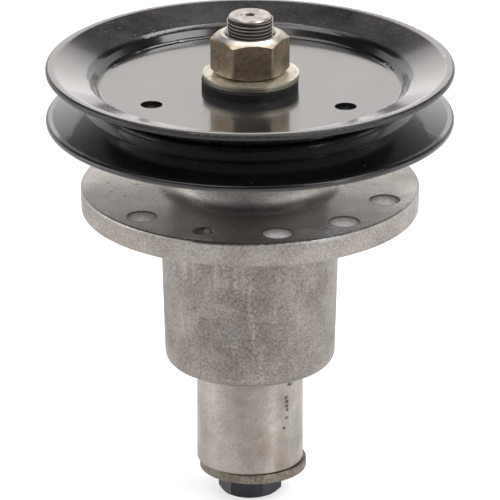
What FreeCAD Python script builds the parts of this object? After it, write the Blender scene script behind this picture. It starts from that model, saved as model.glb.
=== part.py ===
import FreeCAD, Part
import math
import os

os.makedirs("parts", exist_ok=True)

# Mower deck spindle, in millimetres. Z runs up the shaft; the deck side of the flange is Z = 0,
# and a bolt hole of the six hole pattern lies on X.

# Housing casting
flange_diameter = 142.4
flange_thickness = 10.5
flange_edge_radius = 1.0
casting_draft = 1.7
barrel_diameter = 75.6
barrel_length = 68.6
barrel_corner_radius = 5.0
barrel_root_radius = 1.5
neck_diameter = 66.0
neck_height = 26.0
neck_fillet_radius = 6.5
neck_edge_radius = 1.0
bearing_shoulder = 3.5
bore_lead_in = 0.5

# Deck holes: a six hole and a four hole pattern on one circle, and two tapped holes
bolt_circle_diameter = 119.0
bolt_hole_diameter = 12.5
four_hole_angle = -30.0
tapped_hole_diameter = 8.0
tapped_hole_angle = -90.0
tapped_hole_countersink = 0.5

# Sealed ball bearings
bearing_bore = 25.0
bearing_outside = 52.0
bearing_width = 15.0
bearing_corner_radius = 1.0
ball_diameter = 7.938
ball_count = 9
race_clearance = 0.1
pocket_clearance = 0.15
inner_land_drop = 2.05
outer_land_rise = 2.65
seal_seat_depth = 1.2
bearing_seal_thickness = 0.9
bearing_seal_recess = 0.6
bearing_seal_clearance = 0.15
cage_width = 2.5
cage_back = 0.75
cage_claw_height = 2.0

# Lip seals at the ends of the housing
lip_seal_width = 7.0
upper_lip_seal_section = 9.0
lower_lip_seal_section = 4.0
lip_seal_recess = 0.5
lip_seal_gap = 0.5
lip_clearance = 0.1
lip_seal_case_share = 0.22
lip_seal_web_share = 0.22
lip_back_share = 0.38
lip_crest_share = 0.16
lip_heel_share = 0.12
lip_top_share = 0.78
lip_edge_share = 0.56

# Shaft
thread_diameter = 19.7
thread_end_chamfer = 1.3
thread_relief_width = 2.5
thread_relief_depth = 1.0
thread_above_nut = 7.8
journal_end_gap = 1.2
shaft_edge_chamfer = 0.8
centre_hole_diameter = 4.0
centre_hole_angle = 60.0
drill_point_angle = 118.0
thread_clearance = 0.1

# Spacers on the shaft
bearing_spacer_diameter = 32.0
bearing_spacer_chamfer = 0.5
pulley_spacer_diameter = 35.0
pulley_spacer_length = 11.5
pulley_spacer_chamfer = 0.6
blade_spacer_diameter = 45.0
blade_spacer_length = 52.4
blade_spacer_seal_diameter = 45.0
blade_spacer_seal_reach = 1.5
blade_spacer_nose_diameter = 33.0
blade_spacer_nose_length = 1.5
blade_spacer_chamfer = 0.6

# Pulley: two like pressings, web to web on a turned hub
pulley_diameter = 171.2
sheet_thickness = 3.0
groove_bottom_diameter = 137.6
groove_bottom_width = 9.8
groove_wall_angle = 38.0
groove_angle = 37.5
web_bend_radius = 2.5
groove_bend_radius = 2.0
rim_lip_width = 3.0
rim_lip_angle = 1.0
rim_bend_radius = 1.0
rim_edge_radius = 1.3
web_hole_circle_diameter = 93.0
web_hole_diameter = 9.2
web_hole_count = 3
web_hole_angle = -12.5
hub_diameter = 40.5
hub_shoulder_diameter = 52.0
hub_shoulder_thickness = 5.0
hub_seat_height = 7.7
hub_collar_height = 4.2
hub_chamfer = 0.8

# Key between hub and shaft
key_width = 8.0
key_height = 7.0
key_length = 14.0
key_seat_depth = 4.0
key_top_clearance = 0.3

# Hexagons of nut and bolt
hex_chamfer_angle = 30.0
nut_face_share = 0.85
nut_seat_share = 0.95
bolt_face_share = 0.93
bolt_seat_share = 0.98

# Nut and conical washer on top
nut_across_flats = 29.2
nut_across_corners = 33.1
nut_height = 16.8
nut_angle = 23.5
nut_countersink = 1.0
cone_washer_diameter = 40.2
cone_washer_bore = 21.0
cone_washer_thickness = 2.5
cone_washer_rise = 0.5
cone_washer_land = 1.2
cone_washer_shift = 0.4
cone_washer_shift_angle = 19.0

# Washer and bolt that hold the blade
blade_washer_overhang = 0.1
blade_washer_bore = 18.5
blade_washer_thickness = 4.2
blade_washer_edge_radius = 0.6
blade_washer_shift = 1.3
blade_washer_shift_angle = 19.0
bolt_diameter = 15.9
bolt_length = 40.0
bolt_end_chamfer = 1.2
bolt_across_flats = 23.4
bolt_across_corners = 26.8
bolt_head_height = 11.1
bolt_angle = 12.4
tapped_end_spare = 5.0

# Heights, stacked along the shaft from the flange
housing_top = flange_thickness + neck_height
housing_bottom = -barrel_length
upper_seal_top = housing_top - lip_seal_recess
upper_bearing_top = upper_seal_top - lip_seal_width - lip_seal_gap
upper_bearing_bottom = upper_bearing_top - bearing_width
lower_seal_bottom = housing_bottom + lip_seal_recess
lower_bearing_bottom = lower_seal_bottom + lip_seal_width + lip_seal_gap
lower_bearing_top = lower_bearing_bottom + bearing_width
hub_bottom = upper_bearing_top + pulley_spacer_length
web_bottom = hub_bottom + hub_seat_height
pulley_middle = web_bottom + sheet_thickness
hub_top = pulley_middle + sheet_thickness + hub_collar_height
nut_bottom = hub_top + cone_washer_rise + cone_washer_thickness
nut_top = nut_bottom + nut_height
shaft_top = nut_top + thread_above_nut
journal_top = hub_top - journal_end_gap
blade_spacer_bottom = lower_bearing_bottom - blade_spacer_length
shaft_bottom = blade_spacer_bottom + journal_end_gap
bolt_head_top = blade_spacer_bottom - blade_washer_thickness
bolt_head_bottom = bolt_head_top - bolt_head_height
bolt_tip = bolt_head_top + bolt_length

# Radii that several pieces share
shaft_radius = bearing_bore / 2
bearing_radius = bearing_outside / 2
upper_seal_radius = pulley_spacer_diameter / 2 + upper_lip_seal_section
lower_seal_radius = blade_spacer_seal_diameter / 2 + lower_lip_seal_section
ball_radius = ball_diameter / 2
pitch_radius = (shaft_radius + bearing_radius) / 2
inner_land_radius = pitch_radius - inner_land_drop
outer_land_radius = pitch_radius + outer_land_rise
seal_seat_radius = outer_land_radius + seal_seat_depth
web_bore_radius = hub_diameter / 2
bearing_seal_outer_face = bearing_width / 2 - bearing_seal_recess
bearing_seal_inner_face = bearing_seal_outer_face - bearing_seal_thickness
key_middle = (hub_bottom + hub_top) / 2


def point(radius, height):
    return FreeCAD.Vector(radius, 0, height)


def at_height(height):
    return FreeCAD.Vector(0, 0, height)


def on_circle(diameter, angle, height):
    turn = math.radians(angle)
    return FreeCAD.Vector(diameter / 2 * math.cos(turn), diameter / 2 * math.sin(turn), height)


def rounded_corner(before, here, after, radius):
    # Start, middle and end of the arc that rounds the corner "here"
    corner = point(here[0], here[1])
    back = (point(before[0], before[1]) - corner).normalize()
    ahead = (point(after[0], after[1]) - corner).normalize()
    half = back.getAngle(ahead) / 2
    reach = radius / math.tan(half)
    middle = corner + (back + ahead).normalize() * (radius / math.sin(half) - radius)
    return corner + back * reach, middle, corner + ahead * reach


def turned(outline):
    # Solid turned about Z from (radius, height) points; a third number rounds that corner
    corners = []
    for i, spot in enumerate(outline):
        if len(spot) == 3:
            after = outline[(i + 1) % len(outline)]
            corners.append(rounded_corner(outline[i - 1], spot, after, spot[2]))
        else:
            corners.append((point(spot[0], spot[1]),))
    edges = []
    for i, corner in enumerate(corners):
        following = corners[(i + 1) % len(corners)]
        if len(corner) == 3:
            edges.append(Part.Arc(*corner).toShape())
        edges.append(Part.makeLine(corner[-1], following[0]))
    return Part.Face(Part.Wire(edges)).revolve(FreeCAD.Vector(), at_height(1), 360)


def tube(inner_radius, outer_radius, bottom, top, chamfer):
    # Sleeve with both outer edges chamfered
    return turned([
        (inner_radius, bottom), (outer_radius - chamfer, bottom), (outer_radius, bottom + chamfer),
        (outer_radius, top - chamfer), (outer_radius - chamfer, top), (inner_radius, top)])


def drill(diameter, place, depth):
    return Part.makeCylinder(diameter / 2, depth, place)


def offset_side(path, distance):
    # The path moved sideways to its left, corner by corner
    moved = []
    directions = []
    for start, end in zip(path, path[1:]):
        length = math.hypot(end[0] - start[0], end[1] - start[1])
        directions.append(((end[0] - start[0]) / length, (end[1] - start[1]) / length))
    for i, spot in enumerate(path):
        before = directions[max(i - 1, 0)]
        after = directions[min(i, len(directions) - 1)]
        share = distance / (1 + before[0] * after[0] + before[1] * after[1])
        moved.append((spot[0] - (before[1] + after[1]) * share, spot[1] + (before[0] + after[0]) * share))
    return moved


def hexagon(across_flats, across_corners, low_share, high_share, bottom, height, angle):
    # Hexagonal prism with worn corners, each end chamfered down to a round face
    ring = [on_circle(across_flats / math.cos(math.pi / 6), angle + 60 * i, bottom) for i in range(7)]
    prism = Part.Face(Part.makePolygon(ring)).extrude(at_height(height))
    corner = across_corners / 2
    low_face = low_share * across_flats / 2
    high_face = high_share * across_flats / 2
    slope = math.tan(math.radians(hex_chamfer_angle))
    top = bottom + height
    return prism.common(turned([
        (0, bottom), (low_face, bottom), (corner, bottom + (corner - low_face) * slope),
        (corner, top - (corner - high_face) * slope), (high_face, top), (0, top)]))


def make_housing():
    flange_radius = flange_diameter / 2
    barrel_radius = barrel_diameter / 2
    neck_radius = neck_diameter / 2
    slope = math.tan(math.radians(casting_draft))
    shoulder_radius = bearing_radius - bearing_shoulder
    body = turned([
        (lower_seal_radius + bore_lead_in, housing_bottom),
        (barrel_radius - barrel_length * slope, housing_bottom, barrel_corner_radius),
        (barrel_radius, 0, barrel_root_radius),
        (flange_radius - flange_thickness * slope, 0, flange_edge_radius),
        (flange_radius, flange_thickness, flange_edge_radius),
        (neck_radius, flange_thickness, neck_fillet_radius),
        (neck_radius - neck_height * slope, housing_top, neck_edge_radius),
        (upper_seal_radius + bore_lead_in, housing_top),
        (upper_seal_radius, housing_top - bore_lead_in),
        (upper_seal_radius, upper_bearing_top),
        (bearing_radius, upper_bearing_top),
        (bearing_radius, upper_bearing_bottom),
        (shoulder_radius, upper_bearing_bottom),
        (shoulder_radius, lower_bearing_top),
        (bearing_radius, lower_bearing_top),
        (bearing_radius, lower_bearing_bottom),
        (lower_seal_radius, lower_bearing_bottom),
        (lower_seal_radius, housing_bottom + bore_lead_in)])
    angles = {60.0 * i for i in range(6)}
    angles |= {(four_hole_angle + 90 * i) % 360 for i in range(4)}
    for angle in sorted(angles):
        place = on_circle(bolt_circle_diameter, angle, 0)
        body = body.cut(drill(bolt_hole_diameter, place, flange_thickness))
    tapped_radius = tapped_hole_diameter / 2
    for angle in (tapped_hole_angle, tapped_hole_angle + 180):
        place = on_circle(bolt_circle_diameter, angle, 0)
        body = body.cut(drill(tapped_hole_diameter, place, flange_thickness))
        mouth = place + at_height(flange_thickness - tapped_hole_countersink)
        mouth_radius = tapped_radius + tapped_hole_countersink
        body = body.cut(Part.makeCone(tapped_radius, mouth_radius, tapped_hole_countersink, mouth))
    return body


def make_bearing(bottom):
    # The six pieces of one sealed deep groove bearing
    half = bearing_width / 2
    corner = bearing_corner_radius
    groove = Part.makeTorus(pitch_radius, ball_radius + race_clearance)
    outer_ring = turned([
        (seal_seat_radius, -half), (bearing_radius, -half, corner), (bearing_radius, half, corner),
        (seal_seat_radius, half), (seal_seat_radius, bearing_seal_inner_face),
        (outer_land_radius, bearing_seal_inner_face), (outer_land_radius, -bearing_seal_inner_face),
        (seal_seat_radius, -bearing_seal_inner_face)]).cut(groove)
    inner_ring = turned([
        (shaft_radius, -half, corner), (inner_land_radius, -half), (inner_land_radius, half),
        (shaft_radius, half, corner)]).cut(groove)
    places = [on_circle(2 * pitch_radius, 360 / ball_count * i, 0) for i in range(ball_count)]
    balls = Part.makeCompound([Part.makeSphere(ball_radius, place) for place in places])
    pocket_radius = ball_radius + pocket_clearance
    cage_inner = pitch_radius - cage_width / 2
    cage_bottom = -pocket_radius - cage_back
    cage = turned([
        (cage_inner, cage_bottom), (cage_inner + cage_width, cage_bottom),
        (cage_inner + cage_width, cage_claw_height), (cage_inner, cage_claw_height)])
    for place in places:
        cage = cage.cut(Part.makeSphere(pocket_radius, place))
    seal_lip = inner_land_radius + bearing_seal_clearance
    seal = turned([
        (seal_lip, bearing_seal_inner_face), (seal_seat_radius, bearing_seal_inner_face),
        (seal_seat_radius, bearing_seal_outer_face), (seal_lip, bearing_seal_outer_face)])
    flipped = seal.mirror(FreeCAD.Vector(), at_height(1))
    pieces = {
        "outer_ring": outer_ring, "inner_ring": inner_ring, "balls": balls,
        "cage": cage, "top_seal": seal, "bottom_seal": flipped}
    for piece in pieces.values():
        piece.translate(at_height(bottom + half))
    return pieces


def make_lip_seal(running_radius, seat_radius, air_face, inward):
    # Rubber covered ring with a sprung lip; "inward" is the way into the housing along Z
    lip = running_radius + lip_clearance
    section = seat_radius - lip
    case = seat_radius - lip_seal_case_share * section
    web = lip_seal_web_share * lip_seal_width
    lip_back = lip + lip_back_share * section
    lip_top = lip_top_share * lip_seal_width
    lip_edge = lip_edge_share * lip_seal_width
    outline = [
        (seat_radius, 0), (seat_radius, lip_seal_width), (case, lip_seal_width), (case, web),
        (lip_back, web), (lip_back, lip_top), (lip + lip_crest_share * section, lip_top),
        (lip, lip_edge), (lip + lip_heel_share * section, web), (lip + lip_crest_share * section, 0)]
    return turned([(radius, air_face + inward * depth) for radius, depth in outline])


def make_disc(side):
    # One pulley pressing: flat web, sloping groove wall, cone and lip; "side" is +1 up, -1 down
    rim_radius = pulley_diameter / 2
    groove_radius = groove_bottom_diameter / 2
    wall_top = groove_bottom_width / 2
    wall_start = groove_radius - wall_top * math.tan(math.radians(groove_wall_angle))
    lip_start = rim_radius - rim_lip_width
    lip_height = wall_top + (lip_start - groove_radius) * math.tan(math.radians(groove_angle / 2))
    rim_height = lip_height + rim_lip_width * math.tan(math.radians(rim_lip_angle))
    belt_side = [
        (web_bore_radius, 0), (wall_start, 0), (groove_radius, wall_top),
        (lip_start, lip_height), (rim_radius, rim_height)]
    open_side = offset_side(belt_side, sheet_thickness)
    belt_bends = (
        0, web_bend_radius + sheet_thickness, groove_bend_radius, rim_bend_radius, rim_edge_radius)
    open_bends = (
        0, web_bend_radius, groove_bend_radius + sheet_thickness,
        rim_bend_radius + sheet_thickness, rim_edge_radius)
    outline = list(zip(belt_side, belt_bends)) + list(zip(open_side, open_bends))[::-1]
    spots = []
    for (radius, height), bend in outline:
        place = (radius, pulley_middle + side * height)
        spots.append(place + (bend,) if bend else place)
    disc = turned(spots)
    for i in range(web_hole_count):
        angle = web_hole_angle + 360 / web_hole_count * i
        place = on_circle(web_hole_circle_diameter, angle, pulley_middle - sheet_thickness)
        disc = disc.cut(drill(web_hole_diameter, place, 2 * sheet_thickness))
    return disc


def make_hub():
    shoulder_radius = hub_shoulder_diameter / 2
    shoulder_bottom = web_bottom - hub_shoulder_thickness
    hub = turned([
        (shaft_radius, hub_bottom),
        (web_bore_radius - hub_chamfer, hub_bottom), (web_bore_radius, hub_bottom + hub_chamfer),
        (web_bore_radius, shoulder_bottom),
        (shoulder_radius - hub_chamfer, shoulder_bottom),
        (shoulder_radius, shoulder_bottom + hub_chamfer),
        (shoulder_radius, web_bottom),
        (web_bore_radius, web_bottom), (web_bore_radius, hub_top - hub_chamfer),
        (web_bore_radius - hub_chamfer, hub_top), (shaft_radius, hub_top)])
    keyway_depth = shaft_radius - key_seat_depth + key_height + key_top_clearance
    corner = FreeCAD.Vector(0, -key_width / 2, hub_bottom)
    return hub.cut(Part.makeBox(keyway_depth, key_width, hub_top - hub_bottom, corner))


def make_key():
    # Round ended key lying along the shaft on its +X side
    seat = shaft_radius - key_seat_depth
    straight = key_length - key_width
    low = FreeCAD.Vector(seat, 0, key_middle - straight / 2)
    bar = Part.makeBox(key_height, key_width, straight, low - FreeCAD.Vector(0, key_width / 2, 0))
    along = FreeCAD.Vector(1, 0, 0)
    for end in (low, low + at_height(straight)):
        bar = bar.fuse(Part.makeCylinder(key_width / 2, key_height, end, along))
    return bar.removeSplitter()


def make_shaft(key):
    thread_radius = thread_diameter / 2
    relief_radius = thread_radius - thread_relief_depth
    relief_top = journal_top + thread_relief_width
    hole_radius = bolt_diameter / 2 + thread_clearance
    hole_end = bolt_tip + tapped_end_spare
    hole_point = hole_end + hole_radius / math.tan(math.radians(drill_point_angle / 2))
    centre_radius = centre_hole_diameter / 2
    centre_bottom = shaft_top - centre_radius / math.tan(math.radians(centre_hole_angle / 2))
    shaft = turned([
        (hole_radius, shaft_bottom),
        (shaft_radius - shaft_edge_chamfer, shaft_bottom),
        (shaft_radius, shaft_bottom + shaft_edge_chamfer),
        (shaft_radius, journal_top - shaft_edge_chamfer),
        (shaft_radius - shaft_edge_chamfer, journal_top),
        (relief_radius, journal_top), (relief_radius, relief_top - thread_relief_depth),
        (thread_radius, relief_top),
        (thread_radius, shaft_top - thread_end_chamfer), (thread_radius - thread_end_chamfer, shaft_top),
        (centre_radius, shaft_top), (0, centre_bottom),
        (0, hole_point), (hole_radius, hole_end)])
    return shaft.cut(key)


def make_blade_spacer():
    # Thick sleeve with a seal journal inside the housing and a nose on the inner bearing ring
    radius = blade_spacer_diameter / 2
    seal_radius = blade_spacer_seal_diameter / 2
    nose_radius = blade_spacer_nose_diameter / 2
    shoulder = lower_bearing_bottom - blade_spacer_nose_length
    seal_end = housing_bottom - blade_spacer_seal_reach
    sleeve = turned([
        (shaft_radius, blade_spacer_bottom), (radius - blade_spacer_chamfer, blade_spacer_bottom),
        (radius, blade_spacer_bottom + blade_spacer_chamfer), (radius, seal_end), (shaft_radius, seal_end)])
    journal = turned([
        (shaft_radius, seal_end), (seal_radius, seal_end), (seal_radius, shoulder - blade_spacer_chamfer),
        (seal_radius - blade_spacer_chamfer, shoulder), (nose_radius, shoulder),
        (nose_radius, lower_bearing_bottom), (shaft_radius, lower_bearing_bottom)])
    return sleeve.fuse(journal).removeSplitter()


def make_cone_washer():
    # Dished spring washer: rests on its outer edge, carries the nut on a narrow inner land
    inner = cone_washer_bore / 2
    outer = cone_washer_diameter / 2
    washer = turned([
        (inner, hub_top + cone_washer_rise), (outer - cone_washer_land, hub_top), (outer, hub_top),
        (outer, hub_top + cone_washer_thickness), (inner + cone_washer_land, nut_bottom),
        (inner, nut_bottom)])
    washer.translate(on_circle(2 * cone_washer_shift, cone_washer_shift_angle, 0))
    return washer


def make_nut():
    thread_radius = thread_diameter / 2 + thread_clearance
    mouth_radius = thread_radius + nut_countersink
    nut = hexagon(
        nut_across_flats, nut_across_corners, nut_seat_share, nut_face_share, nut_bottom, nut_height,
        nut_angle)
    hole = turned([
        (0, nut_bottom), (mouth_radius, nut_bottom), (thread_radius, nut_bottom + nut_countersink),
        (thread_radius, nut_top - nut_countersink), (mouth_radius, nut_top), (0, nut_top)])
    return nut.cut(hole)


def make_blade_washer():
    inner = blade_washer_bore / 2
    outer = blade_spacer_diameter / 2 + blade_washer_overhang
    edge = blade_washer_edge_radius
    washer = turned([
        (inner, bolt_head_top), (outer, bolt_head_top, edge), (outer, blade_spacer_bottom, edge),
        (inner, blade_spacer_bottom)])
    washer.translate(on_circle(2 * blade_washer_shift, blade_washer_shift_angle, 0))
    return washer


def make_bolt():
    radius = bolt_diameter / 2
    head = hexagon(
        bolt_across_flats, bolt_across_corners, bolt_face_share, bolt_seat_share, bolt_head_bottom,
        bolt_head_height, bolt_angle)
    shank = turned([
        (0, bolt_head_top), (radius, bolt_head_top), (radius, bolt_tip - bolt_end_chamfer),
        (radius - bolt_end_chamfer, bolt_tip), (0, bolt_tip)])
    return head.fuse(shank)


# Put the pieces together
key = make_key()
pieces = {
    "spindle_housing": make_housing(),
    "spindle_shaft": make_shaft(key),
    "bearing_spacer": tube(
        shaft_radius, bearing_spacer_diameter / 2, lower_bearing_top, upper_bearing_bottom,
        bearing_spacer_chamfer),
    "pulley_spacer": tube(
        shaft_radius, pulley_spacer_diameter / 2, upper_bearing_top, hub_bottom, pulley_spacer_chamfer),
    "pulley_hub": make_hub(),
    "pulley_upper_disc": make_disc(1),
    "pulley_lower_disc": make_disc(-1),
    "pulley_key": key,
    "top_washer": make_cone_washer(),
    "top_nut": make_nut(),
    "blade_spacer": make_blade_spacer(),
    "blade_washer": make_blade_washer(),
    "blade_bolt": make_bolt(),
    "upper_lip_seal": make_lip_seal(pulley_spacer_diameter / 2, upper_seal_radius, upper_seal_top, -1),
    "lower_lip_seal": make_lip_seal(
        blade_spacer_seal_diameter / 2, lower_seal_radius, lower_seal_bottom, 1),
}
for place, bottom in (("upper", upper_bearing_bottom), ("lower", lower_bearing_bottom)):
    for name, piece in make_bearing(bottom).items():
        pieces[place + "_bearing_" + name] = piece

for name, piece in pieces.items():
    piece.exportStep("parts/" + name + ".step")
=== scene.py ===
import math
import bmesh
import bpy
from mathutils import Matrix, Vector


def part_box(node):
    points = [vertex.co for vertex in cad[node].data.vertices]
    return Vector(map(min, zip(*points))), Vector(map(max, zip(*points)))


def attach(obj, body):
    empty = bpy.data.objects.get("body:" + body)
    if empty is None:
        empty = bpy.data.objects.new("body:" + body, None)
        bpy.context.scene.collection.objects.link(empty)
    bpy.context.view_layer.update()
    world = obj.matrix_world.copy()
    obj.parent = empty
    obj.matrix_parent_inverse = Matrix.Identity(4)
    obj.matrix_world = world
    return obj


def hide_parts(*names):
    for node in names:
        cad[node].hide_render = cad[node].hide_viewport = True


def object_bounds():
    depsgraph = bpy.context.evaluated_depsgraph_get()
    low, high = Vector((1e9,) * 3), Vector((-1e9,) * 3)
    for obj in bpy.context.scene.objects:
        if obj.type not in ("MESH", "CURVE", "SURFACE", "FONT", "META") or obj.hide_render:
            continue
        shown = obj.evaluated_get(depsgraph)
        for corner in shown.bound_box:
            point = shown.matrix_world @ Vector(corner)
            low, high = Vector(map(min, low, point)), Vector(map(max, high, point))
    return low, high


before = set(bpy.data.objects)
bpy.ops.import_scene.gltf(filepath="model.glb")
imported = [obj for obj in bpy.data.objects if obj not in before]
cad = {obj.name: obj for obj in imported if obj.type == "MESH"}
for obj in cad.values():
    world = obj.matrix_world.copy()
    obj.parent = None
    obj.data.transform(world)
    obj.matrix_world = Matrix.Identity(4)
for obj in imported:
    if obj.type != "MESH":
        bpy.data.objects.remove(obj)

solid_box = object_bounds()


# Housing: one aluminium casting with the bearing neck, the deck flange and the barrel in one piece.
# Its skin is as cast, dull warm grey with brown stains and drag marks; the flange edge is rubbed bright.

def add(tree, kind, links=None, **settings):
    """A node with its settings, and its inputs set to values or linked from sockets."""
    made = tree.nodes.new(kind)
    for name, value in settings.items():
        setattr(made, name, value)
    for name, value in (links or {}).items():
        if isinstance(value, bpy.types.NodeSocket):
            tree.links.new(value, made.inputs[name])
        else:
            made.inputs[name].default_value = value
    return made


def maths(tree, kind, first, second):
    made = add(tree, "ShaderNodeMath", {0: first, 1: second}, operation=kind)
    return made.outputs[0]


def times(tree, first, second):
    return maths(tree, "MULTIPLY", first, second)


def span(tree, value, low, high, to_low=0.0, to_high=1.0):
    """The value, stretched so that low becomes to_low and high becomes to_high, and held at both ends."""
    made = add(tree, "ShaderNodeMapRange", {
        "Value": value, "From Min": low, "From Max": high, "To Min": to_low, "To Max": to_high})
    return made.outputs[0]


def blend_colours(tree, amount, first, second):
    """The first colour at amount 0 and the second at 1."""
    made = add(tree, "ShaderNodeMix", data_type="RGBA", blend_type="MIX")
    for spot, value in ((0, amount), (6, first), (7, second)):
        if isinstance(value, bpy.types.NodeSocket):
            tree.links.new(value, made.inputs[spot])
        else:
            made.inputs[spot].default_value = value if spot == 0 else (*value, 1.0)
    return made.outputs[2]


def stained(tree, colour, mask, strength, tone):
    """The colour with a tone laid over it where the mask is, at part strength."""
    return blend_colours(tree, times(tree, mask, strength), colour, tone)


def from_axis(tree, place):
    """Height, place across the shaft's axis and distance from that axis."""
    spot = add(tree, "ShaderNodeSeparateXYZ", {0: place}).outputs
    flat = add(tree, "ShaderNodeCombineXYZ", {0: spot[0], 1: spot[1]}).outputs[0]
    reach = add(tree, "ShaderNodeVectorMath", {0: flat}, operation="LENGTH").outputs["Value"]
    return spot[2], flat, reach


def new_finish(name):
    """An empty material: its node tree, its Principled shader and its Object coordinates."""
    material = bpy.data.materials.new(name)
    material.use_nodes = True
    tree = material.node_tree
    shader = tree.nodes["Principled BSDF"]
    place = add(tree, "ShaderNodeTexCoord").outputs["Object"]
    return material, tree, shader, place


def new_effect(name, inputs, outputs):
    """A shader node group with named sockets."""
    group = bpy.data.node_groups.new(name, "ShaderNodeTree")
    for label, value in inputs.items():
        kind = "NodeSocketVector" if value is None else "NodeSocketFloat"
        socket = group.interface.new_socket(label, in_out="INPUT", socket_type=kind)
        if value is not None:
            socket.default_value = value
    for label in outputs:
        group.interface.new_socket(label, in_out="OUTPUT", socket_type="NodeSocketFloat")
    return group, group.nodes.new("NodeGroupInput").outputs, group.nodes.new("NodeGroupOutput").inputs


def effect(tree, group, place, **values):
    """Outputs of a node group placed in a material with its own values."""
    made = add(tree, "ShaderNodeGroup", node_tree=group)
    tree.links.new(place, made.inputs["Place"])
    for label, value in values.items():
        made.inputs[label].default_value = value
    return made.outputs


# Cloudy patches that come and go, as in stains and cast skin
clouds, given, out = new_effect(
    "clouds", {"Place": None, "Scale": 60.0, "Detail": 4.0, "Low": 0.4, "High": 0.65}, ["Mask", "Raw"])
noise = add(clouds, "ShaderNodeTexNoise", {
    "Vector": given["Place"], "Scale": given["Scale"], "Detail": given["Detail"], "Roughness": 0.6})
clouds.links.new(span(clouds, noise.outputs["Fac"], given["Low"], given["High"]), out["Mask"])
clouds.links.new(noise.outputs["Fac"], out["Raw"])

# Scattered small dots, as in pits, dust and specks
specks, given, out = new_effect(
    "specks", {"Place": None, "Scale": 400.0, "Size": 0.2, "Share": 0.3}, ["Mask"])
cells = add(specks, "ShaderNodeTexVoronoi", {"Vector": given["Place"], "Scale": given["Scale"]})
chance = add(specks, "ShaderNodeSeparateColor", {"Color": cells.outputs["Color"]}).outputs[0]
chosen = maths(specks, "LESS_THAN", chance, given["Share"])
near = span(specks, cells.outputs["Distance"], given["Size"], times(specks, given["Size"], 0.5))
specks.links.new(times(specks, near, chosen), out["Mask"])

# A soft ring about the shaft's axis at one radius and height, for rubbed edges
edge_ring, given, out = new_effect(
    "edge_ring", {"Place": None, "Radius": 0.07, "Height": 0.01, "Width": 0.001}, ["Mask"])
height, flat, reach = from_axis(edge_ring, given["Place"])
across = maths(edge_ring, "SUBTRACT", reach, given["Radius"])
up = maths(edge_ring, "SUBTRACT", height, given["Height"])
section = add(edge_ring, "ShaderNodeCombineXYZ", {0: across, 1: up}).outputs[0]
away = add(edge_ring, "ShaderNodeVectorMath", {0: section}, operation="LENGTH").outputs["Value"]
edge_ring.links.new(span(edge_ring, away, given["Width"], 0.0), out["Mask"])

# One ragged mark at a place on the part, for a stain, a rub, a patch of pits, a painted shade or a painted
# glint
mark, given, out = new_effect(
    "mark", {"Place": None, "Centre": None, "Size": None, "Ragged": 0.35, "Grain": 160.0}, ["Mask"])
offset = add(
    mark, "ShaderNodeVectorMath", {0: given["Place"], 1: given["Centre"]}, operation="SUBTRACT").outputs[0]
offset = add(mark, "ShaderNodeVectorMath", {0: offset, 1: given["Size"]}, operation="DIVIDE").outputs[0]
away = add(mark, "ShaderNodeVectorMath", {0: offset}, operation="LENGTH").outputs["Value"]
torn = add(mark, "ShaderNodeTexNoise", {"Vector": given["Place"], "Scale": given["Grain"], "Detail": 4.0})
torn = times(mark, span(mark, torn.outputs["Fac"], 0.3, 0.7, -1.0, 1.0), given["Ragged"])
mark.links.new(span(mark, maths(mark, "ADD", away, torn), 1.0, 0.35), out["Mask"])

front_turn = math.radians(19.0)


def as_faced(tree, place):
    """Place turned so that its X runs to the right and its Y to the back of the front view."""
    return add(tree, "ShaderNodeMapping", {"Vector": place, "Rotation": (0, 0, -front_turn)}).outputs[0]


def marked(tree, faced, centre, size, ragged, grain=160.0):
    """Mask of one ragged mark, placed as the front view shows it."""
    return effect(tree, mark, faced, Centre=centre, Size=size, Ragged=ragged, Grain=grain)["Mask"]


flange_top = 0.0105
flange_radius = 0.0712
bolt_circle = 0.0595
bolt_hole_radius = 0.00625
tapped_hole_radius = 0.0040

cast_skin, tree, shader, place = new_finish("cast_aluminium_skin")
faced = as_faced(tree, place)
height, flat, reach = from_axis(tree, place)
mottle = effect(tree, clouds, place, Scale=48.0, Detail=7.0, Low=0.36, High=0.66)
colour = blend_colours(tree, mottle["Mask"], (0.195, 0.166, 0.145), (0.305, 0.275, 0.250))

# Brown stains in wide clouds, a broad darkening down the middle of the barrel's front and a few smaller brown
# marks there
stain = effect(tree, clouds, place, Scale=34.0, Detail=6.0, Low=0.53, High=0.70)
colour = stained(tree, colour, stain["Mask"], 0.5, (0.165, 0.130, 0.100))
for centre, size, strength in (
        ((0.0000, -0.0380, -0.0340), (0.0250, 0.0240, 0.0420), 0.42),
        ((-0.0070, -0.0360, -0.0260), (0.0045, 0.0100, 0.0110), 0.50),
        ((-0.0010, -0.0365, -0.0330), (0.0045, 0.0100, 0.0090), 0.55),
        ((-0.0205, -0.0300, -0.0420), (0.0042, 0.0100, 0.0070), 0.50),
        ((-0.0150, -0.0335, -0.0500), (0.0060, 0.0100, 0.0030), 0.45),
        ((0.0050, -0.0363, -0.0310), (0.0035, 0.0100, 0.0080), 0.45)):
    blot = marked(tree, faced, centre, size, 0.7)
    colour = stained(tree, colour, blot, strength, (0.120, 0.095, 0.075))
smooth = marked(tree, faced, (-0.0095, -0.0352, -0.0440), (0.0085, 0.0150, 0.0058), 0.3)
colour = stained(tree, colour, smooth, 0.5, (0.255, 0.245, 0.235))

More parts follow.
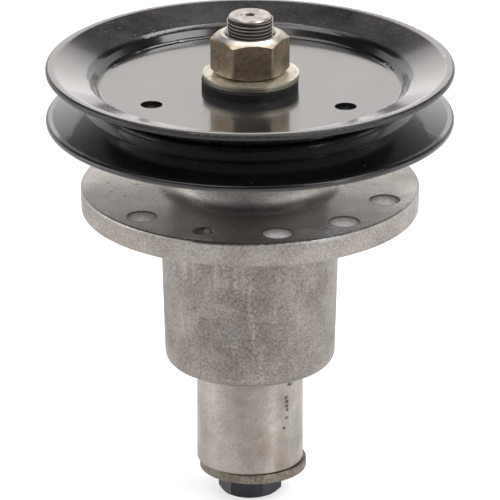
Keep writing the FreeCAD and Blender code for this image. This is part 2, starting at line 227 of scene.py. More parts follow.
# Pale drag marks that run down from the flange and one parting line down the front
stretched = add(tree, "ShaderNodeMapping", {"Vector": place, "Scale": (1.0, 1.0, 0.10)}).outputs[0]
drag = effect(tree, clouds, stretched, Scale=170.0, Detail=3.0, Low=0.52, High=0.66)
below = times(tree, span(tree, height, -0.030, -0.012), span(tree, height, 0.001, -0.001))
colour = stained(tree, colour, times(tree, drag["Mask"], below), 0.65, (0.47, 0.45, 0.42))
for centre, size, strength in (
        ((0.0000, -0.0366, -0.0290), (0.0009, 0.0100, 0.0130), 0.3375),
        ((0.0016, -0.0365, -0.0430), (0.0009, 0.0100, 0.0110), 0.3375),
        ((0.0045, -0.0361, -0.0580), (0.0012, 0.0100, 0.0090), 0.24),
        ((-0.0060, -0.0362, -0.0165), (0.0010, 0.0100, 0.0060), 0.3375),
        ((-0.0030, -0.0364, -0.0180), (0.0012, 0.0100, 0.0055), 0.3375),
        ((-0.0236, -0.0280, -0.0185), (0.0008, 0.0100, 0.0060), 0.375),
        ((-0.0320, -0.0180, -0.0185), (0.0010, 0.0100, 0.0050), 0.3375),
        ((0.0164, -0.0330, -0.0190), (0.0008, 0.0100, 0.0055), 0.30),
        ((0.0314, -0.0188, -0.0190), (0.0012, 0.0100, 0.0050), 0.3375),
        ((-0.0105, -0.0350, -0.0492), (0.0070, 0.0100, 0.0006), 0.2625),
        ((0.0106, -0.0348, -0.0350), (0.0008, 0.0100, 0.0050), 0.2625)):
    line = marked(tree, faced, centre, size, 1.0, 600.0)
    colour = stained(tree, colour, line, strength, (0.52, 0.505, 0.485))

# The skimmed upper face, brighter than the cast skin, and the rough cast neck painted in the same pale tone
# as a painted highlight
skimmed_face_and_painted_neck = span(tree, height, flange_top - 0.0013, flange_top - 0.0001)
worked = blend_colours(tree, mottle["Mask"], (0.46, 0.435, 0.410), (0.645, 0.620, 0.590))
colour = blend_colours(tree, times(tree, skimmed_face_and_painted_neck, 0.85), colour, worked)

# The flange's outer edge, handled and paler
outer_edge = span(tree, reach, flange_radius - 0.0020, flange_radius - 0.0010)
colour = stained(tree, colour, outer_edge, 0.28, (0.46, 0.425, 0.39))

# Painted shade on the front of the flange below the neck, where the pulley overhangs it
painted_shade_below_neck = marked(tree, faced, (0.0, -0.0540, flange_top), (0.0600, 0.0260, 0.0080), 0.15)
colour = stained(tree, colour, painted_shade_below_neck, 0.40, (0.150, 0.138, 0.128))

# The grain of the sand, scattered pits and a cluster of them on the flange
grit = effect(tree, clouds, place, Scale=1050.0, Detail=6.0, Low=0.36, High=0.64)
grit_tone = blend_colours(tree, grit["Mask"], (0.085, 0.073, 0.063), (0.56, 0.53, 0.495))
colour = blend_colours(tree, 0.30, colour, grit_tone)
pits = effect(tree, specks, place, Scale=340.0, Size=0.17, Share=0.07)
cluster = marked(tree, faced, (-0.0489, -0.0128, flange_top), (0.0150, 0.0160, 0.0040), 0.6)
close_pits = effect(tree, specks, place, Scale=420.0, Size=0.42, Share=0.40)
hollow = maths(tree, "MAXIMUM", pits["Mask"], times(tree, close_pits["Mask"], cluster))
colour = stained(tree, colour, hollow, 0.65, (0.075, 0.070, 0.064))

# The bored walls of the holes, painted lighter on the right as painted light and varied with the grit, with a
# line of painted shade round each mouth and a painted glint in the tapped hole at the front
hole_band = times(
    tree, span(tree, reach, bolt_circle - 0.0125, bolt_circle - 0.0115),
    span(tree, reach, flange_radius - 0.0020, flange_radius - 0.0027))
inside = times(
    tree, span(tree, height, 0.0004, 0.0008), span(tree, height, flange_top - 0.0002, flange_top - 0.0031))
rightward = add(tree, "ShaderNodeSeparateXYZ", {0: faced}).outputs[0]
painted_light_right_and_grit = times(
    tree, span(tree, rightward, -0.022, 0.004, 0.70, 1.0), span(tree, grit["Mask"], 0.0, 1.0, 0.7, 1.0))
bored = times(tree, hole_band, inside)
colour = blend_colours(tree, times(tree, bored, painted_light_right_and_grit), colour, (0.80, 0.785, 0.77))
for turn in (0, 60, 120, 180, 240, 300, -30, 150, 90, 270):
    tapped = turn in (90, 270)
    hole_radius = tapped_hole_radius if tapped else bolt_hole_radius
    centre = Vector((math.cos(math.radians(turn)), math.sin(math.radians(turn)), 0.0)) * bolt_circle
    away = add(tree, "ShaderNodeVectorMath", {0: flat, 1: centre}, operation="DISTANCE").outputs["Value"]
    # A line of painted shade round the mouth, darker for the plain holes
    painted_shade_ring_at_mouth = span(tree, away, hole_radius + 0.0007, hole_radius + 0.0002)
    deep = 0.0 if tapped else flange_top - 0.0009
    line = times(tree, painted_shade_ring_at_mouth, span(tree, height, deep, deep + 0.0004))
    colour = stained(tree, colour, line, 0.50 if tapped else 0.85, (0.070, 0.062, 0.055))
# A painted highlight on the far wall of the tapped hole at the front
painted_glint_in_tapped_hole = marked(tree, faced, (-0.0178, -0.0527, 0.0090), (0.0017, 0.0030, 0.0014), 0.2)
colour = stained(tree, colour, painted_glint_in_tapped_hole, 0.85, (0.80, 0.78, 0.76))

# The flange's upper edge, rubbed bright in places, and a smoother patch at the front right painted pale blue
# grey as a painted sheen
rubbed = effect(
    tree, edge_ring, place, Radius=flange_radius - 0.0003, Height=flange_top - 0.0003, Width=0.0010)
nicks = effect(tree, clouds, place, Scale=240.0, Detail=3.0, Low=0.46, High=0.62)
bright = times(tree, rubbed["Mask"], nicks["Mask"])
colour = stained(tree, colour, bright, 0.6, (0.60, 0.59, 0.57))
smooth_patch_with_painted_sheen = marked(tree, faced, (0.0290, -0.0590, flange_top), (0.0130, 0.0095, 0.0030), 0.45)
colour = stained(tree, colour, smooth_patch_with_painted_sheen, 0.5, (0.58, 0.61, 0.63))
tree.links.new(colour, shader.inputs["Base Color"])

# The skimmed flange is smoother than the cast skin, and the neck rougher again
smoother = times(tree, skimmed_face_and_painted_neck, span(tree, height, 0.0110, 0.0150, 0.21, -0.06))
dull = maths(tree, "SUBTRACT", span(tree, mottle["Raw"], 0.3, 0.7, 0.60, 0.46), smoother)
dull = maths(tree, "SUBTRACT", dull, times(tree, smooth_patch_with_painted_sheen, 0.05))
tree.links.new(dull, shader.inputs["Roughness"])
shader.inputs["Metallic"].default_value = 0.85
skin = maths(tree, "SUBTRACT", grit["Raw"], times(tree, hollow, 0.9))
skin = maths(tree, "ADD", skin, times(tree, mottle["Raw"], 0.8))
bump = add(tree, "ShaderNodeBump", {"Height": skin, "Strength": 0.30, "Distance": 0.0004})
tree.links.new(bump.outputs[0], shader.inputs["Normal"])


def dress(finish, *names):
    """Puts one finish on CAD pieces."""
    for name in names:
        cad[name].data.materials.clear()
        cad[name].data.materials.append(finish)


dress(cast_skin, "spindle_housing")


# Ball bearings: ground chrome steel rings and balls with a moulded nylon crown cage and rubber faced seals.
# Both are pressed into the housing and sit out of sight behind the lip seals.

ground_steel, tree, shader, place = new_finish("ground_bearing_steel")
lapped = effect(tree, clouds, place, Scale=700.0, Detail=2.0, Low=0.3, High=0.7)
colour = blend_colours(tree, lapped["Mask"], (0.56, 0.56, 0.57), (0.66, 0.66, 0.67))
tree.links.new(colour, shader.inputs["Base Color"])
tree.links.new(span(tree, lapped["Raw"], 0.3, 0.7, 0.12, 0.22), shader.inputs["Roughness"])
shader.inputs["Metallic"].default_value = 1.0

cage_nylon, tree, shader, place = new_finish("cage_nylon")
moulded = effect(tree, clouds, place, Scale=300.0, Detail=3.0, Low=0.3, High=0.7)
colour = blend_colours(tree, moulded["Mask"], (0.46, 0.40, 0.28), (0.56, 0.50, 0.37))
tree.links.new(colour, shader.inputs["Base Color"])
tree.links.new(span(tree, moulded["Raw"], 0.3, 0.7, 0.42, 0.55), shader.inputs["Roughness"])

seal_rubber, tree, shader, place = new_finish("seal_rubber")
matt = effect(tree, clouds, place, Scale=450.0, Detail=3.0, Low=0.3, High=0.7)
colour = blend_colours(tree, matt["Mask"], (0.018, 0.018, 0.018), (0.034, 0.033, 0.032))
tree.links.new(colour, shader.inputs["Base Color"])
tree.links.new(span(tree, matt["Raw"], 0.3, 0.7, 0.55, 0.7), shader.inputs["Roughness"])

for end in ("upper", "lower"):
    dress(ground_steel, *(end + "_bearing_" + piece for piece in ("outer_ring", "inner_ring", "balls")))
    dress(cage_nylon, end + "_bearing_cage")
    dress(seal_rubber, end + "_bearing_top_seal", end + "_bearing_bottom_seal")


# Lip seals: rubber covered rings pressed into both ends of the housing, running on the spacers.
# They share the matt black rubber of the bearing seals.

dress(seal_rubber, "upper_lip_seal", "lower_lip_seal")


# Shaft: turned steel, running the whole length inside; its top end carries a fine rolled thread for the nut.
# The end face keeps its turning rings and the centre drilling; the thread is a helical ridge on its core.

thread_pitch = 0.0015
thread_outer = 0.00985
thread_core = 0.00898
thread_root_half = 0.00070
thread_bottom = 0.0600
shaft_radius = 0.0125
edge_chamfer = 0.0008
relief_radius = 0.00885
tapped_radius = 0.00805
shaft_bottom, shaft_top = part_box("spindle_shaft")[0].z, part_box("spindle_shaft")[1].z
thread_top = shaft_top - 0.0009
journal_top = 0.0567

turned_steel, tree, shader, place = new_finish("turned_shaft_steel")
smut = effect(tree, clouds, place, Scale=240.0, Detail=4.0, Low=0.40, High=0.70)
colour = blend_colours(tree, smut["Mask"], (0.55, 0.505, 0.475), (0.38, 0.34, 0.315))
height, flat, reach = from_axis(tree, place)
# Below the end face the steel is painted pale, a painted highlight on the thread's crests, and the roots
# painted near black, a painted shade
painted_root_shade = span(tree, reach, thread_outer - 0.00036, thread_outer - 0.00060)
on_thread = span(tree, height, shaft_top - 0.0006, shaft_top - 0.0010)
colour = stained(tree, colour, on_thread, 0.7, (0.74, 0.69, 0.66))
colour = stained(tree, colour, times(tree, painted_root_shade, on_thread), 0.95, (0.030, 0.026, 0.024))
# The centre drilling is painted near black, a painted shade in the hole
painted_shade_in_drilling = times(
    tree, span(tree, reach, 0.0022, 0.0018), span(tree, height, shaft_top - 0.005, shaft_top - 0.004))
colour = stained(tree, colour, painted_shade_in_drilling, 0.92, (0.030, 0.027, 0.025))
faced = as_faced(tree, place)
nick = marked(tree, faced, (-0.0034, -0.0004, shaft_top), (0.0008, 0.0014, 0.0010), 0.3)
colour = stained(tree, colour, nick, 0.85, (0.040, 0.036, 0.034))
tree.links.new(colour, shader.inputs["Base Color"])
dull = maths(tree, "ADD", span(tree, smut["Raw"], 0.3, 0.7, 0.30, 0.42), times(tree, on_thread, 0.12))
tree.links.new(dull, shader.inputs["Roughness"])
shader.inputs["Metallic"].default_value = 0.95
rings = add(
    tree, "ShaderNodeTexWave", {"Vector": flat, "Scale": 420.0, "Distortion": 0.6},
    wave_type="RINGS", rings_direction="Z")
bump = add(tree, "ShaderNodeBump", {"Height": rings.outputs["Fac"], "Strength": 0.05, "Distance": 0.0002})
tree.links.new(bump.outputs[0], shader.inputs["Normal"])


def socket_id(tree, name):
    """Identifier of a tree's named input."""
    return next(item.identifier for item in tree.interface.items_tree if item.name == name)


def grown(name, tree, material, **sizes):
    """Plain mesh object made by a Geometry Nodes tree with these named sizes."""
    carrier = bpy.data.objects.new(name, bpy.data.meshes.new(name + "_seed"))
    bpy.context.scene.collection.objects.link(carrier)
    modifier = carrier.modifiers.new("build", "NODES")
    modifier.node_group = tree
    modifier[socket_id(tree, "Material")] = material
    for label, value in sizes.items():
        modifier[socket_id(tree, label)] = value
    ready = carrier.evaluated_get(bpy.context.evaluated_depsgraph_get())
    mesh = bpy.data.meshes.new_from_object(ready)
    carrier.modifiers.clear()
    carrier.data = mesh
    mesh.name = name
    return carrier


def new_growth(name, sizes):
    """A Geometry Nodes tree with named float sizes, a material and one geometry output."""
    tree = bpy.data.node_groups.new(name, "GeometryNodeTree")
    for label, value in sizes.items():
        tree.interface.new_socket(label, in_out="INPUT", socket_type="NodeSocketFloat").default_value = value
    tree.interface.new_socket("Material", in_out="INPUT", socket_type="NodeSocketMaterial")
    tree.interface.new_socket("Geometry", in_out="OUTPUT", socket_type="NodeSocketGeometry")
    return tree, tree.nodes.new("NodeGroupInput").outputs, tree.nodes.new("NodeGroupOutput").inputs


# The thread: a spiral at the core radius that carries a triangular ridge, run out thin at both ends
thread, given, out = new_growth("thread_ridge", {
    "Core": thread_core, "Outer": thread_outer, "Pitch": thread_pitch, "Length": 0.02,
    "Half Root": thread_root_half})
turns = maths(thread, "DIVIDE", given["Length"], given["Pitch"])
spiral = add(thread, "GeometryNodeCurveSpiral", {
    "Resolution": 72, "Rotations": turns, "Start Radius": given["Core"], "End Radius": given["Core"],
    "Height": given["Length"]})
upright = add(thread, "GeometryNodeSetCurveNormal", {"Curve": spiral.outputs[0]}, mode="Z_UP")
crest = maths(thread, "SUBTRACT", given["Outer"], given["Core"])
half_crest = times(thread, given["Half Root"], 0.16)
sunk = -0.00012
corners = (
    (times(thread, given["Half Root"], -1.0), sunk),
    (times(thread, half_crest, -1.0), crest),
    (half_crest, crest), (given["Half Root"], sunk))
section = add(thread, "GeometryNodeCurvePrimitiveQuadrilateral", mode="POINTS")
for i, (x, y) in enumerate(corners):
    spot = add(thread, "ShaderNodeCombineXYZ", {0: x, 1: y}).outputs[0]
    thread.links.new(spot, section.inputs["Point %d" % (i + 1)])
along = add(thread, "GeometryNodeSplineParameter").outputs["Factor"]
from_end = maths(thread, "MINIMUM", along, maths(thread, "SUBTRACT", 1.0, along))
taper = span(thread, times(thread, from_end, turns), 0.0, 0.35, 0.15, 1.0)
ridge = add(thread, "GeometryNodeCurveToMesh", {
    "Curve": upright.outputs[0], "Profile Curve": section.outputs[0], "Scale": taper, "Fill Caps": True})
whole = add(thread, "GeometryNodeRealizeInstances", {"Geometry": ridge.outputs[0]})
done = add(thread, "GeometryNodeSetMaterial", {"Geometry": whole.outputs[0], "Material": given["Material"]})
thread.links.new(done.outputs[0], out["Geometry"])
ridge = grown("shaft_thread", thread, turned_steel, Length=thread_top - thread_bottom)


def turned_mesh(name, outline, steps):
    """Closed mesh turned about Z from (radius, height) points that start and end on the axis."""
    mesh = bmesh.new()
    rings = []
    for radius, height in outline:
        if radius == 0:
            rings.append([mesh.verts.new((0, 0, height))])
            continue
        rings.append([mesh.verts.new((
            radius * math.cos(math.tau * i / steps), radius * math.sin(math.tau * i / steps), height))
            for i in range(steps)])
    for low, high in zip(rings, rings[1:]):
        for i in range(steps):
            after = i + 1
            corners = [low[i % len(low)], low[after % len(low)], high[after % len(high)], high[i % len(high)]]
            mesh.faces.new(list(dict.fromkeys(corners)))
    data = bpy.data.meshes.new(name)
    mesh.to_mesh(data)
    mesh.free()
    return data


core = turned_mesh("threaded_shaft", [
    (0, shaft_bottom + 0.040), (tapped_radius, shaft_bottom + 0.038), (tapped_radius, shaft_bottom),
    (shaft_radius - edge_chamfer, shaft_bottom), (shaft_radius, shaft_bottom + edge_chamfer),
    (shaft_radius, journal_top - edge_chamfer), (shaft_radius - edge_chamfer, journal_top),
    (relief_radius, journal_top), (relief_radius, thread_bottom - 0.0005), (thread_core, thread_bottom),
    (thread_core, shaft_top - 0.0008), (0.00855, shaft_top - 0.0002), (0.00835, shaft_top),
    (0.0020, shaft_top), (0, shaft_top - 0.0034)], 96)
core.materials.append(turned_steel)
ridge.data.transform(Matrix.Translation((0, 0, thread_bottom)))
whole = bmesh.new()
whole.from_mesh(core)
whole.from_mesh(ridge.data)
bmesh.ops.recalc_face_normals(whole, faces=whole.faces)
whole.to_mesh(core)
whole.free()
bpy.data.objects.remove(ridge)
core.set_sharp_from_angle(angle=math.radians(28))
shaft = bpy.data.objects.new("threaded_shaft", core)
bpy.context.scene.collection.objects.link(shaft)
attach(shaft, "rotor")
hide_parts("spindle_shaft")


# Spacers on the shaft: the tube between the bearings, the collar below the pulley and the long blade sleeve.
# They are turned from bar, dull satin steel; the sleeve is browned in patches and pitted along one line.

satin_steel, tree, shader, place = new_finish("satin_spacer_steel")
faced = as_faced(tree, place)
haze = effect(tree, clouds, place, Scale=60.0, Detail=6.0, Low=0.38, High=0.66)
colour = blend_colours(tree, haze["Mask"], (0.435, 0.392, 0.360), (0.315, 0.280, 0.253))
rust = effect(tree, clouds, place, Scale=85.0, Detail=5.0, Low=0.54, High=0.72)
colour = stained(tree, colour, rust["Mask"], 0.6, (0.300, 0.212, 0.150))
mist = effect(tree, clouds, place, Scale=900.0, Detail=2.0, Low=0.32, High=0.68)
colour = stained(tree, colour, mist["Mask"], 0.40, (0.20, 0.188, 0.172))

# One eaten patch at the left, a line of deep pits at the right and tiny ones all over
eaten_patch = marked(tree, faced, (-0.0151, -0.0166, -0.0800), (0.0022, 0.0050, 0.0022), 0.25)
scar = effect(tree, specks, place, Scale=520.0, Size=0.42, Share=0.45)
tiny = effect(tree, specks, place, Scale=420.0, Size=0.18, Share=0.12)
eaten = times(tree, scar["Mask"], eaten_patch)
for centre, size in (
        ((0.0166, -0.0152, -0.0743), (0.0016, 0.0030, 0.0011)),
        ((0.0152, -0.0166, -0.0797), (0.0011, 0.0030, 0.0012)),
        ((0.0157, -0.0161, -0.0818), (0.0011, 0.0030, 0.0013)),
        ((0.0155, -0.0163, -0.0837), (0.0009, 0.0030, 0.0009)),
        ((0.0157, -0.0161, -0.0856), (0.0009, 0.0030, 0.0010)),
        ((0.0155, -0.0163, -0.0892), (0.0009, 0.0030, 0.0010)),
        ((0.0144, -0.0173, -0.0935), (0.0008, 0.0030, 0.0009))):
    pit = marked(tree, faced, centre, size, 0.45, 700.0)
    eaten = maths(tree, "MAXIMUM", eaten, times(tree, pit, 0.9))
eaten = maths(tree, "MAXIMUM", eaten, times(tree, tiny["Mask"], 0.5))
colour = blend_colours(tree, eaten, colour, (0.040, 0.036, 0.034))
tree.links.new(colour, shader.inputs["Base Color"])
tree.links.new(span(tree, haze["Raw"], 0.3, 0.7, 0.36, 0.46), shader.inputs["Roughness"])
shader.inputs["Anisotropic"].default_value = 0.8
shader.inputs["Anisotropic Rotation"].default_value = 0.25
tree.links.new(span(tree, eaten, 0.0, 1.0, 0.92, 0.1), shader.inputs["Metallic"])
worn = maths(tree, "SUBTRACT", mist["Raw"], times(tree, eaten, 2.0))
bump = add(tree, "ShaderNodeBump", {"Height": worn, "Strength": 0.12, "Distance": 0.0003})
tree.links.new(bump.outputs[0], shader.inputs["Normal"])
dress(satin_steel, "bearing_spacer", "pulley_spacer", "blade_spacer", "pulley_key")


# Pulley: two steel pressings web to web on a turned hub, all sprayed together in gloss black paint.
# The paint is smooth and mirror like on the web, with dust and small chips on the lips.

web_top = 0.0537
web_edge = 0.0620
dish_start = 0.0678
lip_start = 0.0825
dish_slope = math.tan(math.radians(18.75))
dish_skin = 0.03275
rim_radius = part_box("pulley_upper_disc")[1].x
rim_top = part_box("pulley_upper_disc")[1].z
rim_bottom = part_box("pulley_lower_disc")[0].z

gloss_black, tree, shader, place = new_finish("gloss_black_paint")
film = effect(tree, clouds, place, Scale=36.0, Detail=6.0, Low=0.35, High=0.75)
colour = blend_colours(tree, film["Mask"], (0.0045, 0.0043, 0.0055), (0.0090, 0.0086, 0.0092))
dust = effect(tree, specks, place, Scale=260.0, Size=0.12, Share=0.08)
lint = effect(tree, specks, place, Scale=620.0, Size=0.16, Share=0.06)
grime = maths(tree, "MAXIMUM", dust["Mask"], lint["Mask"])
colour = stained(tree, colour, grime, 0.5, (0.15, 0.14, 0.13))

# Grey dust settled inside the upper dish, thinner on its web and lip, and pale flecks at its back left
height, flat, reach = from_axis(tree, place)
grain = effect(tree, clouds, place, Scale=1100.0, Detail=3.0, Low=0.38, High=0.64)
on_web = span(tree, reach, web_edge + 0.0006, web_edge, 0.0, 0.35)
on_dish = times(
    tree, span(tree, reach, dish_start - 0.0006, dish_start + 0.0006),
    span(tree, reach, lip_start - 0.0003, lip_start + 0.0003, 1.0, 0.35))
level = maths(tree, "SUBTRACT", height, times(tree, reach, dish_slope))
upper_side = span(tree, level, dish_skin - 0.00015, dish_skin + 0.00015)
settled = times(tree, maths(tree, "MAXIMUM", on_web, on_dish), upper_side)
settled = times(tree, settled, span(tree, height, web_top - 0.0008, web_top - 0.0004))
settled = times(tree, settled, span(tree, grain["Mask"], 0.0, 1.0, 0.24, 0.44))
settled = times(tree, settled, span(tree, film["Raw"], 0.35, 0.65, 0.55, 1.35))
colour = blend_colours(tree, settled, colour, (0.160, 0.150, 0.145))
scuff = marked(tree, as_faced(tree, place), (-0.0500, 0.0560, 0.0615), (0.0230, 0.0160, 0.0060), 0.5)
flecks = effect(tree, specks, place, Scale=560.0, Size=0.30, Share=0.22)
colour = blend_colours(tree, times(tree, flecks["Mask"], scuff), colour, (0.30, 0.285, 0.27))

# Chips along the rims, whose outermost edge is duller than the rest
chips = effect(tree, clouds, place, Scale=420.0, Detail=4.0, Low=0.63, High=0.70)
edges = maths(
    tree, "MAXIMUM",
    effect(tree, edge_ring, place, Radius=rim_radius, Height=rim_top, Width=0.0022)["Mask"],
    effect(tree, edge_ring, place, Radius=rim_radius, Height=rim_bottom, Width=0.0022)["Mask"])
bare = times(tree, chips["Mask"], edges)
colour = stained(tree, colour, bare, 0.6, (0.20, 0.185, 0.17))
tree.links.new(colour, shader.inputs["Base Color"])
sheen = span(tree, film["Raw"], 0.3, 0.7, 0.20, 0.30)
sheen = maths(tree, "ADD", sheen, times(tree, grime, 0.35))
outermost = times(
    tree, span(tree, reach, rim_radius - 0.0012, rim_radius - 0.0005),
    span(tree, height, web_top - 0.004, web_top - 0.002, 0.45, 1.0))
tree.links.new(maths(tree, "ADD", sheen, times(tree, outermost, 0.25)), shader.inputs["Roughness"])
tree.links.new(span(tree, outermost, 0.0, 1.0, 1.0, 0.4), shader.inputs["Coat Weight"])
shader.inputs["Coat IOR"].default_value = 1.45
shader.inputs["Specular IOR Level"].default_value = 0.3
shader.inputs["Specular Tint"].default_value = (1.0, 0.90, 0.84, 1.0)
shader.inputs["Coat Roughness"].default_value = 0.11
peel = effect(tree, clouds, place, Scale=240.0, Detail=3.0, Low=0.3, High=0.7)
bump = add(tree, "ShaderNodeBump", {"Height": peel["Raw"], "Strength": 0.03, "Distance": 0.0004})
tree.links.new(bump.outputs[0], shader.inputs["Normal"])
dress(gloss_black, "pulley_upper_disc", "pulley_lower_disc")

# The hub's collar is painted over a rough turned skin and stays dull
rough_black, tree, shader, place = new_finish("rough_black_hub")
crust = effect(tree, clouds, place, Scale=420.0, Detail=5.0, Low=0.35, High=0.65)
colour = blend_colours(tree, crust["Mask"], (0.0090, 0.0085, 0.0090), (0.030, 0.028, 0.027))
scuffed = effect(tree, specks, place, Scale=520.0, Size=0.28, Share=0.14)
colour = stained(tree, colour, scuffed["Mask"], 0.6, (0.09, 0.083, 0.078))
tree.links.new(colour, shader.inputs["Base Color"])
tree.links.new(span(tree, crust["Raw"], 0.3, 0.7, 0.45, 0.62), shader.inputs["Roughness"])
shader.inputs["Specular IOR Level"].default_value = 0.35
bump = add(tree, "ShaderNodeBump", {"Height": crust["Raw"], "Strength": 0.5, "Distance": 0.0006})
tree.links.new(bump.outputs[0], shader.inputs["Normal"])
dress(rough_black, "pulley_hub")


# Conical washer: a dished spring washer, zinc plated pale yellow, under the nut.
# It rests on its outer edge on the hub and carries the nut on its inner edge.

pale_zinc, tree, shader, place = new_finish("pale_zinc_washer")
tone = effect(tree, clouds, place, Scale=150.0, Detail=4.0, Low=0.35, High=0.70)
colour = blend_colours(tree, tone["Mask"], (0.86, 0.82, 0.715), (0.58, 0.53, 0.425))
olive = effect(tree, clouds, place, Scale=210.0, Detail=5.0, Low=0.52, High=0.66)
colour = stained(tree, colour, olive["Mask"], 0.45, (0.30, 0.265, 0.175))
height, flat, reach = from_axis(tree, place)
washer_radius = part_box("top_washer")[1].x
washer_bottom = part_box("top_washer")[0].z
# The outer edge is painted pale as a painted highlight
painted_edge_highlight = span(tree, reach, washer_radius - 0.0010, washer_radius - 0.0006)
colour = blend_colours(tree, painted_edge_highlight, colour, (0.84, 0.79, 0.66))
# The lower part of the edge is painted dark olive as a painted shade
painted_shade_underneath = span(tree, height, washer_bottom + 0.0020, washer_bottom + 0.0011)
colour = stained(tree, colour, painted_shade_underneath, 0.70, (0.200, 0.170, 0.105))
tree.links.new(colour, shader.inputs["Base Color"])
tree.links.new(span(tree, tone["Raw"], 0.3, 0.7, 0.34, 0.46), shader.inputs["Roughness"])
shader.inputs["Metallic"].default_value = 0.9
dress(pale_zinc, "top_washer")


# Nut: a thick hexagon nut, zinc plated olive yellow, with chamfered ends and rubbed bright corners.
# It clamps the washer, the pulley and the spacers down the shaft.

olive_zinc, tree, shader, place = new_finish("olive_zinc_nut")
tone = effect(tree, clouds, place, Scale=130.0, Detail=6.0, Low=0.38, High=0.64)
colour = blend_colours(tree, tone["Mask"], (0.62, 0.485, 0.345), (0.33, 0.255, 0.185))
brown = effect(tree, clouds, place, Scale=190.0, Detail=5.0, Low=0.52, High=0.68)
colour = stained(tree, colour, brown["Mask"], 0.55, (0.30, 0.190, 0.105))
pink = effect(tree, clouds, place, Scale=105.0, Detail=3.0, Low=0.50, High=0.64)
colour = stained(tree, colour, pink["Mask"], 0.40, (0.42, 0.29, 0.27))
green = effect(tree, clouds, place, Scale=88.0, Detail=3.0, Low=0.50, High=0.64)
colour = stained(tree, colour, green["Mask"], 0.40, (0.27, 0.285, 0.175))
soot = effect(tree, clouds, place, Scale=520.0, Detail=4.0, Low=0.50, High=0.70)
colour = stained(tree, colour, soot["Mask"], 0.45, (0.10, 0.085, 0.070))
height, flat, reach = from_axis(tree, place)
nut_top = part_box("top_nut")[1].z
corner_reach = 0.0166
# The corners are rubbed pale, and the top chamfer and face are painted pale as a painted highlight
corners = span(tree, reach, corner_reach - 0.0002, corner_reach, 0.0, 0.2)
rubbed = maths(tree, "MAXIMUM", corners, span(tree, height, nut_top - 0.0016, nut_top - 0.0008))
colour = stained(tree, colour, rubbed, 0.75, (0.66, 0.63, 0.58))
tree.links.new(colour, shader.inputs["Base Color"])
tree.links.new(span(tree, tone["Raw"], 0.3, 0.7, 0.30, 0.42), shader.inputs["Roughness"])
shader.inputs["Metallic"].default_value = 0.95
bump = add(tree, "ShaderNodeBump", {"Height": soot["Raw"], "Strength": 0.10, "Distance": 0.0003})
tree.links.new(bump.outputs[0], shader.inputs["Normal"])
dress(olive_zinc, "top_nut")


# Blade washer: a thick flat washer, dull zinc gone olive, below the blade sleeve.
# The blade bolt pulls it up; it sits slightly off centre on the bolt's shank.

dull_zinc, tree, shader, place = new_finish("dull_zinc_washer")
tone = effect(tree, clouds, place, Scale=170.0, Detail=5.0, Low=0.36, High=0.68)
colour = blend_colours(tree, tone["Mask"], (0.270, 0.235, 0.190), (0.150, 0.127, 0.100))
freckle = effect(tree, clouds, place, Scale=760.0, Detail=3.0, Low=0.42, High=0.60)
colour = stained(tree, colour, freckle["Mask"], 0.55, (0.085, 0.072, 0.054))
tree.links.new(colour, shader.inputs["Base Color"])
tree.links.new(span(tree, tone["Raw"], 0.3, 0.7, 0.42, 0.55), shader.inputs["Roughness"])
shader.inputs["Metallic"].default_value = 0.75
dress(dull_zinc, "blade_washer")


# Blade bolt: a black oxide hexagon bolt screwed up into the shaft's lower end.
# The oxide is a dark blue black, slightly oily and uneven in tone.

black_oxide, tree, shader, place = new_finish("black_oxide_bolt")
tone = effect(tree, clouds, place, Scale=200.0, Detail=4.0, Low=0.36, High=0.70)
colour = blend_colours(tree, tone["Mask"], (0.022, 0.0235, 0.031), (0.036, 0.036, 0.042))
tree.links.new(colour, shader.inputs["Base Color"])
tree.links.new(span(tree, tone["Raw"], 0.3, 0.7, 0.36, 0.48), shader.inputs["Roughness"])
shader.inputs["Metallic"].default_value = 0.5
dress(black_oxide, "blade_bolt")


# Studio: a pale floor under the bolt head, two dark sheets, soft lamps all round and the camera.
# The floor and the sky show white to the camera and in reflections, and the sheets only darken reflections.

to_right = Vector((math.cos(front_turn), math.sin(front_turn), 0))
to_back = Vector((-math.sin(front_turn), math.cos(front_turn), 0))
floor_height = solid_box[0].z - 0.0002
floor_reach = 12.0
sheet_reach = 4.2
sheet_height = 2.4
wall_reach = 2.4


def in_studio(right, back, up):
    """Place by its way to the right, to the back and up, as the front view shows them."""
    return to_right * right + to_back * back + Vector((0, 0, up))


def seen_white(tree):
    """1 for rays from the camera and from shiny or clear surfaces."""
    rays = add(tree, "ShaderNodeLightPath").outputs
    seen = maths(tree, "MAXIMUM", rays["Is Camera Ray"], rays["Is Glossy Ray"])
    return maths(tree, "MAXIMUM", seen, rays["Is Transmission Ray"])


def softbox(name, place, size, power, colour=(1.0, 1.0, 1.0)):
    """A soft lamp that faces the part and that the camera doesn't see."""
    lamp = bpy.data.lights.new(name, "AREA")
    lamp.color = colour
    lamp.shape = "RECTANGLE"
    lamp.size, lamp.size_y = size
    lamp.energy = power
    holder = bpy.data.objects.new(name, lamp)
    bpy.context.scene.collection.objects.link(holder)
    holder.location = place
    holder.rotation_euler = (Vector((0, 0, 0)) - Vector(place)).to_track_quat("-Z", "Y").to_euler()
    holder.visible_camera = False


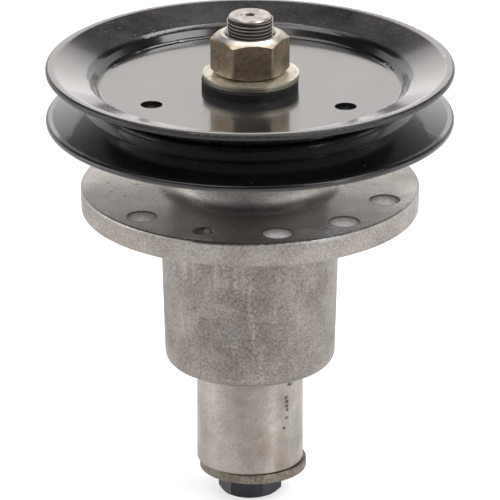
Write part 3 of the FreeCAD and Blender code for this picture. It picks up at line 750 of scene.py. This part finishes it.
floor_mesh = bpy.data.meshes.new("studio_floor")
floor_mesh.from_pydata(
    [(x * floor_reach, y * floor_reach, floor_height) for x, y in ((-1, -1), (1, -1), (1, 1), (-1, 1))],
    [], [(0, 1, 2, 3)])
floor = bpy.data.objects.new("studio_floor", floor_mesh)
bpy.context.scene.collection.objects.link(floor)
floor_paint = bpy.data.materials.new("pale_floor")
floor_paint.use_nodes = True
tree = floor_paint.node_tree
tree.nodes.clear()
matt_floor = add(tree, "ShaderNodeBsdfDiffuse", {"Color": (0.88, 0.88, 0.88, 1.0)})
glow = add(tree, "ShaderNodeEmission", {"Strength": 0.68})
lit = add(tree, "ShaderNodeAddShader", {0: matt_floor.outputs[0], 1: glow.outputs[0]})
from_below = add(tree, "ShaderNodeNewGeometry").outputs["Backfacing"]
clear = add(tree, "ShaderNodeBsdfTransparent")
seen = add(tree, "ShaderNodeMixShader", {0: seen_white(tree), 1: matt_floor.outputs[0], 2: lit.outputs[0]})
either = add(tree, "ShaderNodeMixShader", {0: from_below, 1: seen.outputs[0], 2: clear.outputs[0]})
surface = add(tree, "ShaderNodeOutputMaterial")
tree.links.new(either.outputs[0], surface.inputs["Surface"])
floor_mesh.materials.append(floor_paint)

dark_paint = bpy.data.materials.new("dark_studio_paint")
dark_paint.use_nodes = True
dark_paint.node_tree.nodes["Principled BSDF"].inputs["Base Color"].default_value = (0.03, 0.03, 0.03, 1.0)
dark_paint.node_tree.nodes["Principled BSDF"].inputs["Roughness"].default_value = 1.0


def dark_sheet(name, corners):
    """A dark flat sheet of the studio, which the camera doesn't see."""
    mesh = bpy.data.meshes.new(name)
    mesh.from_pydata([in_studio(*corner) for corner in corners], [], [(0, 1, 2, 3)])
    mesh.materials.append(dark_paint)
    sheet = bpy.data.objects.new(name, mesh)
    bpy.context.scene.collection.objects.link(sheet)
    sheet.visible_camera = False


dark_sheet("studio_ceiling", [
    (x * sheet_reach, y * sheet_reach, sheet_height) for x, y in ((-1, -1), (-1, 1), (1, 1), (1, -1))])
dark_sheet("studio_wall", [
    (x * wall_reach, -sheet_reach, z * sheet_height) for x, z in ((-1, 0), (-1, 1), (1, 1), (1, 0))])

world = bpy.data.worlds.new("studio")
bpy.context.scene.world = world
world.use_nodes = True
tree = world.node_tree
backdrop = tree.nodes["Background"]
backdrop.inputs["Color"].default_value = (1.0, 1.0, 1.0, 1.0)
tree.links.new(span(tree, seen_white(tree), 0.0, 1.0, 0.30, 1.0), backdrop.inputs["Strength"])


def around(turn, rise, reach=1.7):
    """Place in the studio: turned from the camera's side towards the right and raised, both in degrees."""
    turn, rise = math.radians(turn), math.radians(rise)
    along = reach * math.cos(rise)
    return in_studio(along * math.sin(turn), -along * math.cos(turn), reach * math.sin(rise))


softbox("panel_behind", around(180, 19), (0.62, 0.80), 1.15, (1.0, 0.92, 0.86))
softbox("softbox_front_right", around(60, 49), (1.00, 0.46), 8.8, (0.96, 0.98, 1.0))
softbox("softbox_front_left", around(302, 67), (1.40, 0.62), 7.2)
softbox("softbox_back_right", around(132, 61), (0.70, 0.50), 6.5, (0.93, 0.96, 1.0))
softbox("softbox_back_left", around(225, 62), (0.66, 0.54), 1.2)
softbox("softbox_above", around(180, 84), (1.20, 1.10), 8.0)
softbox("softbox_left", around(272, 8), (1.10, 0.50), 6.0)
softbox("softbox_right", around(50, 10), (0.24, 0.54), 3.6)
softbox("softbox_low_right", around(92, 8), (0.60, 0.50), 2.5)

tilt = math.radians(21.02)
distance = 3.057
aim = Vector((0, 0, -0.01945))
lens = bpy.data.cameras.new("camera")
lens.sensor_width = 36.0
lens.lens = 522.3
lens.clip_end = 50.0
camera = bpy.data.objects.new("camera", lens)
bpy.context.scene.collection.objects.link(camera)
camera.location = aim + in_studio(0, -distance * math.cos(tilt), distance * math.sin(tilt))
camera.rotation_euler = (math.pi / 2 - tilt, 0, front_turn)
bpy.context.scene.camera = camera
bpy.context.scene.view_settings.view_transform = "Standard"
